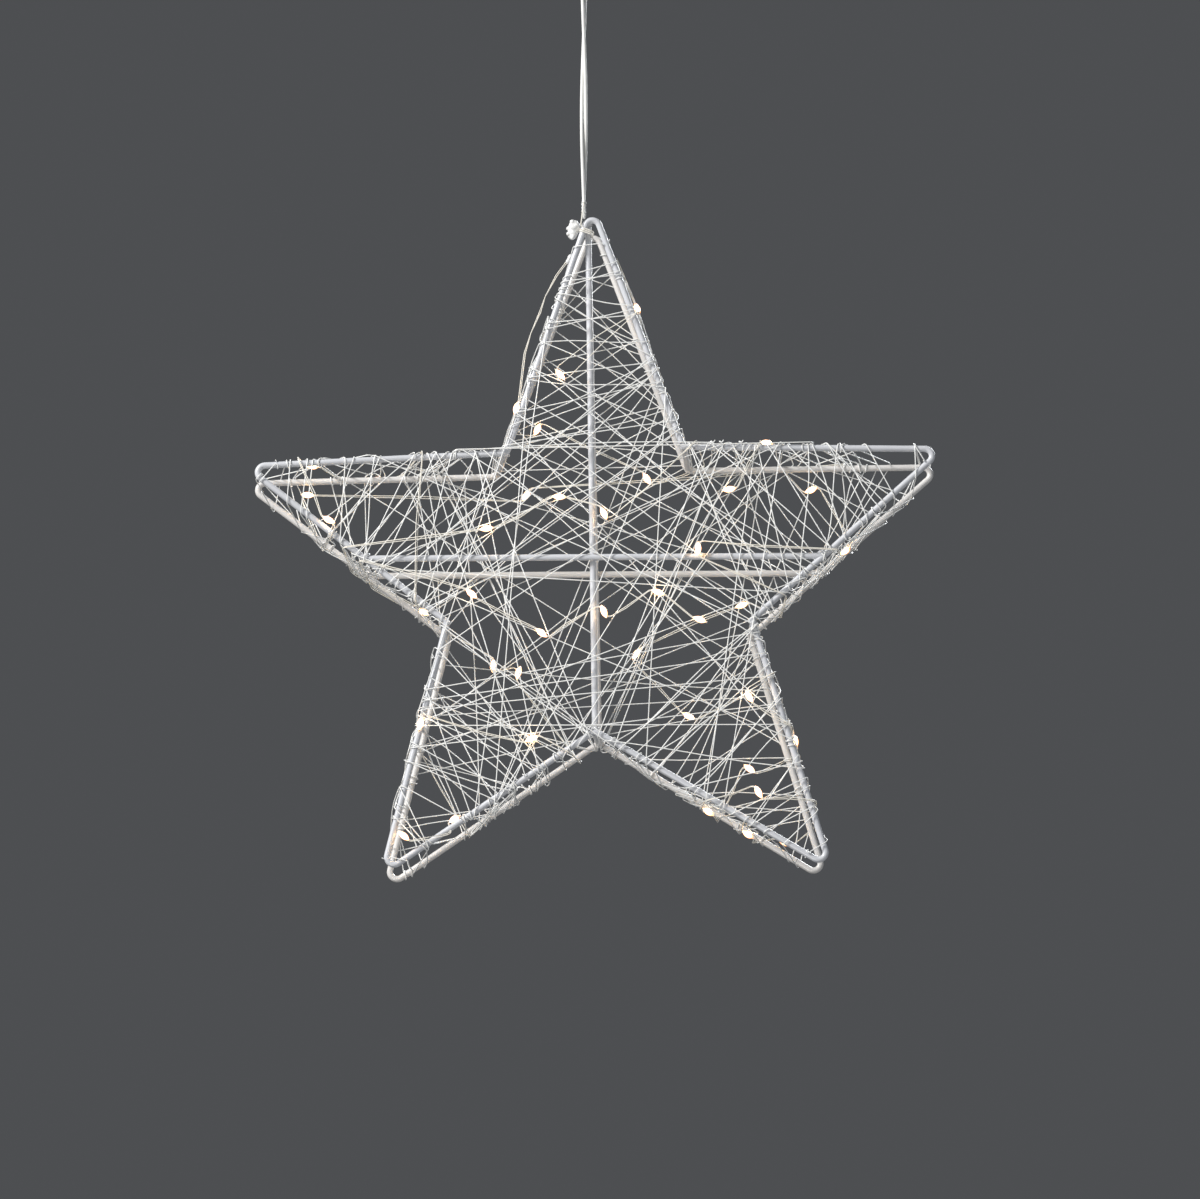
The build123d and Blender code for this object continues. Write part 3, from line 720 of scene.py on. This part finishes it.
class WIRESTAR_OT_windings(bpy.types.Operator):
    """Fine white wire, wound over every arm and across the body"""
    bl_idname = "wire_star.windings"
    bl_label = "Windings"

    def execute(self, context):
        values = context.scene.wire_star_windings
        tree = TubeTree("wound_wire", 7, 3)
        for n, arm in enumerate(ARMS):
            chance = random.Random(values.seed + n)
            route = self.arm_route(chance, n, values)
            self.make(tree, f"net_{arm}", route, values, chance, f"winding_{arm}")
        for n, band in enumerate(BANDS):
            chance = random.Random(values.seed + BAND_SEED + n)
            route = self.band_route(chance, n, values)
            self.make(tree, f"net_{band}", route, values, chance, f"winding_band_{band}")
        return {"FINISHED"}

    def make(self, tree, name, turns, values, chance, replaced):
        """One wire through its turns, each (face, bar, share from the bar's tip)."""
        route = self.binding(*turns[0])
        before = None
        for face, bar, share in turns:
            if chance.random() < values.wrapped:
                route += self.wrap(face, bar, share, before == face, chance)
            else:
                place = edge_point(face, bar, from_tip(bar, share), chance.uniform(*LAID_REACH))
                route.append(place)
            before = face
        route += self.curl(*turns[-1])
        route = self.bowed(route, chance, values.bow / MM)
        piece = tree.make(name, [route], values.wire / MM / 2, WINDING_BEND,
                          finish_of("winding_wire"))
        settle(piece, "star", "winding_wire", replaced)

    def wrap(self, face, bar, share, over_face, chance):
        """A full turn round one bar, in the sense in which the wire comes to it."""
        side, forward = outward(face, bar), forward_of(face)
        middle = bar_point(face, bar, from_tip(bar, share))
        reach = chance.uniform(*WRAP_REACH)
        step = bar_direction(face, bar) * chance.choice((-1, 1)) * chance.uniform(*WRAP_STEP)
        corners = [side + forward, side - forward, -side - forward, forward - side, side + forward]
        if not over_face:
            corners.reverse()
        return [middle + way * reach + step * i for i, way in enumerate(corners)]

    def binding(self, face, bar, share):
        """A tight turn round one bar, where the wire starts."""
        along, side, forward = bar_direction(face, bar), outward(face, bar), forward_of(face)
        middle = bar_point(face, bar, from_tip(bar, share))
        ways = (side + forward, side - forward, -side - forward, forward - side)
        pitch, back = 0.35, 1.6
        return [middle + along * (pitch * i - back) + way * BOUND_REACH
                for i, way in enumerate(ways)]

    def curl(self, face, bar, share):
        """A tight turn and a small loose ring, where the wire ends."""
        points = self.binding(face, bar, share)[::-1]
        along, side = bar_direction(face, bar), outward(face, bar)
        ring_r = 1.3
        ring = points[-1] + side * ring_r
        return points + [ring + (side * cos(turn) - along * sin(turn)) * ring_r
                         for turn in (1.2, 2.4, 3.6, 4.8)]

    def bowed(self, route, chance, bow):
        """The route with some of its long runs a little bowed, in or out of their face."""
        made = [route[0]]
        long_run, bowed_share, wave_share, steps = 40, 0.45, 0.4, 8
        for a, b in zip(route, route[1:]):
            run = b - a
            if run.length > long_run and chance.random() < bowed_share:
                across = Vector((-run.z, 0, run.x)).normalized()
                arch = chance.uniform(-bow, bow)
                wave = chance.uniform(-bow, bow) * wave_share
                for n in range(1, steps):
                    turn = pi * n / steps
                    made.append(a.lerp(b, n / steps)
                                + across * (arch * sin(turn) + wave * sin(2 * turn)))
            made.append(b)
        return made

    def loop(self, chance, near, far, low, high, drift):
        """One loop: over the front from near to far, down the side and back over the rear."""
        # By what share of a bar the rear run slants against the front one
        skew = chance.choice((0.03, 0.09, -0.07, 0.16, -0.13))
        half = drift / 2
        turns = (("front", near, low), ("front", far, high),
                 ("rear", far, high + skew + half), ("rear", near, low + half - skew))
        # How near to its tip a bar is wound: the top's bars and the legs' inner ones less near
        nearest, furthest, barer = 0.06, 0.98, {0: 0.13, 9: 0.13, 4: 0.11, 5: 0.11}
        return [(face, bar, min(max(share, barer.get(bar, nearest)), furthest))
                for face, bar, share in turns]

    def arm_route(self, chance, n, values):
        """Loops from near the tip inwards, then looser slanted ones back."""
        near, far = 2 * n, (2 * n - 1) % 10
        route = []
        first, last, drift = 0.06 if n else 0.13, 0.94, 0.88 / values.arm_loops
        for i in range(values.arm_loops):
            share = first + (last - first) * (i + chance.uniform(0.0, 0.8)) / values.arm_loops
            lean = (0.03 + 0.12 * share) * chance.uniform(-1.0, 1.3)
            route += self.loop(chance, near, far, share, share + lean, drift)
        inmost, back = 0.95, 0.80
        for i in range(values.cross_loops):
            share = inmost - back * (i + chance.uniform(-0.4, 0.4)) / values.cross_loops
            lean = (0.08 + 0.34 * share) * chance.choice((-1, 1)) * chance.uniform(0.3, 1.1)
            route += self.loop(chance, near, far, share, share + lean, -back / values.cross_loops)
        for bar, faces in ((near, ("front", "rear")), (far, ("rear", "front"))):
            for i in range(values.side_runs):
                share = chance.uniform(0.14, 0.60)
                reach = chance.uniform(0.15, 0.38)
                route += [(faces[0], bar, share), (faces[1], bar, share + reach)]
        return route

    def band_route(self, chance, n, values):
        """Loops of a band, then long runs over both faces in all directions."""
        near, far = (2 * n + 1) % 10, (2 * n + 4) % 10
        route = []
        first, width, drift = 0.62, 0.36, 0.03
        for i in range(values.band_loops):
            share = first + width * (i + chance.uniform(0.0, 0.9)) / values.band_loops
            lean = chance.uniform(-0.22, 0.18)
            route += self.loop(chance, near, far, share, share + lean, drift)
        bar, share, face = near, 0.9, "front"
        nearest, furthest = 0.25, 0.98
        for i in range(values.stray_runs):
            to, at = self.far_place(chance, face, bar, share)
            route += [(face, bar, share), (face, to, at)]
            bar, share = to, min(max(at + chance.uniform(-0.12, 0.12), nearest), furthest)
            face = "rear" if face == "front" else "front"
        return route

    def far_place(self, chance, face, bar, share):
        """A place on another bar that a straight run over the face can reach."""
        start = bar_point(face, bar, from_tip(bar, share))
        attempts, shortest = 400, 80
        for attempt in range(attempts):
            to, at = chance.randrange(10), chance.triangular(0.28, 0.98, 0.85)
            end = bar_point(face, to, from_tip(to, at))
            if to != bar and (end - start).length > shortest and inside_star(face, start, end):
                return to, at
        return (bar + 3) % 10, 0.9


class WIRESTAR_OT_lights(bpy.types.Operator):
    """String of lights: paired fine wires with a glowing resin drop at each light"""
    bl_idname = "wire_star.lights"
    bl_label = "Lights"

    def execute(self, context):
        values = context.scene.wire_star_lights
        tree = TubeTree("paired_wire", 6, 4)
        pitch = values.pitch / MM
        drops = []
        for number, (string, rows) in enumerate(STRINGS.items()):
            chance = random.Random(STRING_SEED + number)
            strays = [(chance.uniform(-1, 1), chance.uniform(0.35, 0.65))
                      for n in range(3 * len(rows))]
            routes = []
            for offset in (-pitch / 2, pitch / 2):
                points = self.string_route(rows, offset)[0]
                routes.append(self.with_slack(points, strays, values.slack / MM, offset))
            drops += self.string_route(rows, 0.0)[1]
            piece = tree.make(f"string_{string}", routes, values.wire / MM / 2, STRING_BEND,
                              finish_of("light_wire"))
            settle(piece, "star", "light_wire", f"light_string_{string}")
        for tree_name, name, piece, slot, node in (
            ("drops_on_string", "light_drops", self.drop(values), "bead_resin", "light_beads"),
            ("chips_in_drops", "lit_chips", self.chip(), "light_chip", "light_chips"),
        ):
            made = DropTree(tree_name).make(name, drops, piece, 1.0, finish_of(slot))
            settle(made, "star", slot, node)
        return {"FINISHED"}

    def chip(self):
        """The light-emitting chip inside a drop, beside the pair's wires."""
        thick, wide, tall, aside = 0.4 * MM, 0.9 * MM, 1.6 * MM, 0.5 * MM
        shape = bmesh.new()
        place = Matrix.Translation((aside, 0, 0)) @ Matrix.Diagonal((thick, wide, tall, 1.0))
        bmesh.ops.create_cube(shape, size=1.0, matrix=place)
        return from_bmesh(shape, "chip")

    def place(self, row, shift):
        """The point of a row, for a wire shifted away from the star, off the pair's middle."""
        if row[0] == "edge":
            return edge_point(row[1], row[2], row[3], EDGE_REACH + shift)
        if row[0] in ("side", "start"):
            offset = SIDE_REACH + shift + (row[4] if len(row) > 4 else 0.0)
            front = bar_point("front", row[1], row[2]) + outward("front", row[1]) * offset
            rear = bar_point("rear", row[1], row[2]) + outward("rear", row[1]) * offset
            return front.lerp(rear, row[3])
        y = frame_y(row[0]) + forward_of(row[0]).y * FACE_REACH
        return Vector((STAR_SHIFT + row[1] * STAR_RADIUS, y, -STAR_DROP + row[2] * STAR_RADIUS))

    def way(self, row, before, place, after):
        """The direction of a light: as its row gives it on a face, along the bar on a side."""
        path = (place - before).normalized() + (after - place).normalized()
        lean = 0.25
        if row[0] == "side":
            given = bar_direction("front", row[1])
            across = Vector((0, path.y * lean, 0))
        else:
            given = Vector((cos(radians(row[3])), 0, sin(radians(row[3]))))
            across = Vector()
        return ((given if given.dot(path) > 0 else -given) + across).normalized()

    def string_route(self, rows, offset):
        """The corners of one wire, and the place and run of each light on it."""
        aside = 0.7
        places = [self.place(row, offset) for row in rows]
        ends = [places[0] * 2 - places[1]] + places + [places[-1] * 2 - places[-2]]
        points, lights = [], []
        for row, before, place, after in zip(rows, ends, places, ends[2:]):
            if row[0] in ("edge", "start"):
                points.append(place)
                continue
            along = self.way(row, before, place, after)
            beside = Vector((-along.z, 0, along.x)) * (0 if row[0] == "side" else offset * aside)
            points += [place + beside - along * LIGHT_RUN, place + beside + along * LIGHT_RUN]
            lights.append((place, along))
        return points, lights

    def with_slack(self, points, strays, slack, offset):
        """The route with a place inside each long run drawn aside in the face of the star."""
        slacked = [points[0]]
        long_run, flat_share = 22, 0.5
        for a, b, (aside, share) in zip(points, points[1:], strays):
            run = b - a
            if run.length > long_run and abs(run.y) < flat_share * run.length:
                across = Vector((-run.z, 0, run.x)).normalized()
                slacked.append(a.lerp(b, share) + across * (aside * slack + offset))
            slacked.append(b)
        return slacked

    def drop(self, values):
        """One resin drop along Z, a little flatter on one side, its tips drawn out on the wires."""
        shape = bmesh.new()
        half, radius = values.drop_length / 2, values.drop_width / 2
        # Height in shares of half the drop's length, and width in shares of its widest place
        profile = [(-1.0, 0.14), (-0.90, 0.30), (-0.72, 0.56), (-0.48, 0.84), (-0.20, 0.98),
                   (0.05, 1.0), (0.32, 0.92), (0.58, 0.70), (0.80, 0.42), (0.93, 0.24), (1.0, 0.12)]
        sides, flatter = 12, 0.08
        layer = shape.verts.layers.float.new("along")
        rings = []
        for height, width in profile:
            ring = []
            for n in range(sides):
                turn = 2 * pi * n / sides
                bulge = 1.0 - flatter * (1 - cos(turn)) / 2
                vert = shape.verts.new((radius * width * bulge * cos(turn),
                                        radius * width * sin(turn), half * height))
                vert[layer] = abs(height)
                ring.append(vert)
            rings.append(ring)
        for low, high in zip(rings, rings[1:]):
            for n in range(sides):
                m = (n + 1) % sides
                shape.faces.new((low[n], low[m], high[m], high[n]))
        shape.faces.new(rings[0][::-1])
        shape.faces.new(rings[-1])
        return from_bmesh(shape, "drop", smooth=True)


class WIRESTAR_OT_joints(bpy.types.Operator):
    """Weld beads where struts and rods meet the frames, and the lead's glued splice"""
    bl_idname = "wire_star.joints"
    bl_label = "Welds and Splice"

    def execute(self, context):
        self.welds()
        self.cores()
        self.splice()
        return {"FINISHED"}

    def blob(self, shape, place, size, turn, seed, rough):
        """An uneven lump of metal or glue, added to a bmesh."""
        bumps = 1.7
        made = bmesh.ops.create_icosphere(shape, subdivisions=3, radius=1.0)["verts"]
        for vert in made:
            swell = 1.0 + rough * noise.noise(vert.co * bumps + Vector((seed, seed * 0.37, 0)))
            local = Vector((vert.co.x * size[0], vert.co.y * size[1], vert.co.z * size[2])) * swell
            vert.co = (turn @ local + place) * MM

    def welds(self):
        """Beads at the struts' ends in the notches and at the ends of the rods."""
        beads = []
        for face in ("front", "rear"):
            inward = -forward_of(face)
            for k in range(1, 10, 2):
                notch = bend_middle(face, k, BEND_RADIUS) + inward * (FRAME_R + 0.2)
                beads.append((notch, (2.25, 1.15, 2.25), 0.35))
            for bar, share in ((7, 0.034), (2, 0.042)):
                start, end = corner(face, bar), corner(face, bar + 1)
                z = -STAR_DROP + share * STAR_RADIUS
                cross = start.lerp(end, (z - start.z) / (end.z - start.z))
                beads.append((cross - outward(face, bar) * 1.9, (1.9, 1.95, 1.9), 0.30))
            foot = bend_middle(face, 5, BEND_RADIUS) + inward * 3.55 + Vector((0, 0, 2.6))
            tip = bend_middle(face, 0, BEND_RADIUS) + inward * 1.9 + Vector((-1.6, 0, -1.5))
            beads += [(foot, (2.2, 2.0, 1.5), 0.30), (tip, (1.8, 1.2, 1.7), 0.30)]
        shape = bmesh.new()
        for n, (place, size, rough) in enumerate(beads):
            self.blob(shape, place, size, Matrix.Identity(3), 1.0 + 1.3 * n, rough)
        piece = from_bmesh(shape, "weld_beads", finish_of("frame_paint"), smooth=True)
        settle(piece, "star", "frame_paint")

    def cores(self):
        """The thin cores that come out of the lead's two strands, twisted round each other."""
        reach, spread, spread_steps, core_r = 0.72, 0.25, 3, 0.58
        top, step, step_deg, steps = -175.4, 0.66, 42, 15
        routes = []
        for n in range(3):
            route = []
            for i in range(steps):
                turn = radians(95 + 120 * n + step_deg * i)
                wide = reach + spread * (1 - min(i, spread_steps) / spread_steps)
                route.append(Vector((wide * cos(turn), wide * sin(turn), top - step * i)))
            routes.append(route)
        piece = TubeTree("twisted_cores", 10, 3).make("splice_cores", routes, core_r, CORE_BEND,
                                                      finish_of("sleeve_plastic"))
        settle(piece, "star", "sleeve_plastic", "lead_sleeve")

    def splice(self):
        """The glue beside the top bar: lumps run into one, and two small ones lower down."""
        bar, share, rearward, reach = 9, 0.895, 3.5, 6.05
        out, along = outward("front", bar), bar_direction("front", bar)
        middle = bar_point("front", bar, share) + Vector((0, rearward, 0)) + out * reach
        turn = Matrix((out, Vector((0, 1, 0)), along)).transposed()
        shape = bmesh.new()
        # Each lump's place and size: away from the star, to the rear, along the bar
        lumps = (
            ((0.0, 0.0, 2.2), (3.3, 2.7, 3.5)), ((-0.5, 0.4, -1.8), (2.9, 2.5, 3.4)),
            ((1.6, -1.0, 3.9), (1.5, 1.6, 1.6)), ((2.4, 0.6, 0.2), (1.5, 1.6, 1.2)),
            ((-1.3, -1.2, -4.0), (1.5, 1.5, 1.6)), ((1.5, -0.6, -2.9), (1.3, 1.3, 1.2)),
            ((-3.6, -2.3, -16.0), (1.3, 1.6, 2.1)), ((-3.2, -2.0, -18.0), (1.1, 1.3, 1.6)),
        )
        for n, (place, size) in enumerate(lumps):
            self.blob(shape, middle + turn @ Vector(place), size, turn, 3.1 * n, 0.15)
        glue = finish_of("splice_glue")
        lump = from_bmesh(shape, "glue_lumps", glue, smooth=True)
        melt = lump.modifiers.new("melt", "REMESH")
        melt.mode = "VOXEL"
        melt.voxel_size = 0.35 * MM
        melt.use_smooth_shade = True
        piece = plain_mesh(lump, "glue_splice", glue)
        settle(piece, "star", "splice_glue", "lead_splice")


class WIRESTAR_PT_panel(bpy.types.Panel):
    """Lists the star's pieces and sizes"""
    bl_idname = "WIRESTAR_PT_panel"
    bl_label = "Wire Star"
    bl_space_type = "VIEW_3D"
    bl_region_type = "UI"
    bl_category = "Wire Star"

    def draw(self, context):
        for name in ("stage", "lead", "finishes", "windings", "lights", "joints"):
            self.layout.operator(f"wire_star.{name}")
        for name in ("windings", "lights", "lead", "stage"):
            group = getattr(context.scene, f"wire_star_{name}")
            box = self.layout.box()
            for prop in group.__annotations__:
                box.prop(group, prop)


GROUPS = {
    "wire_star_windings": WireStarWindings, "wire_star_lights": WireStarLights,
    "wire_star_lead": WireStarLead, "wire_star_stage": WireStarStage,
}
CLASSES = (
    WIRESTAR_OT_stage, WIRESTAR_OT_lead, WIRESTAR_OT_finishes, WIRESTAR_OT_windings,
    WIRESTAR_OT_lights, WIRESTAR_OT_joints, WIRESTAR_PT_panel,
)


def register():
    for name, group in GROUPS.items():
        bpy.utils.register_class(group)
        setattr(bpy.types.Scene, name, bpy.props.PointerProperty(type=group))
    for made in CLASSES:
        bpy.utils.register_class(made)


def unregister():
    for made in reversed(CLASSES):
        bpy.utils.unregister_class(made)
    for name, group in GROUPS.items():
        delattr(bpy.types.Scene, name)
        bpy.utils.unregister_class(group)


def main():
    register()
    bpy.ops.wire_star.stage()
    bpy.ops.wire_star.lead()
    bpy.ops.wire_star.finishes()
    bpy.ops.wire_star.windings()
    bpy.ops.wire_star.lights()
    bpy.ops.wire_star.joints()


if __name__ == "__main__":
    main()
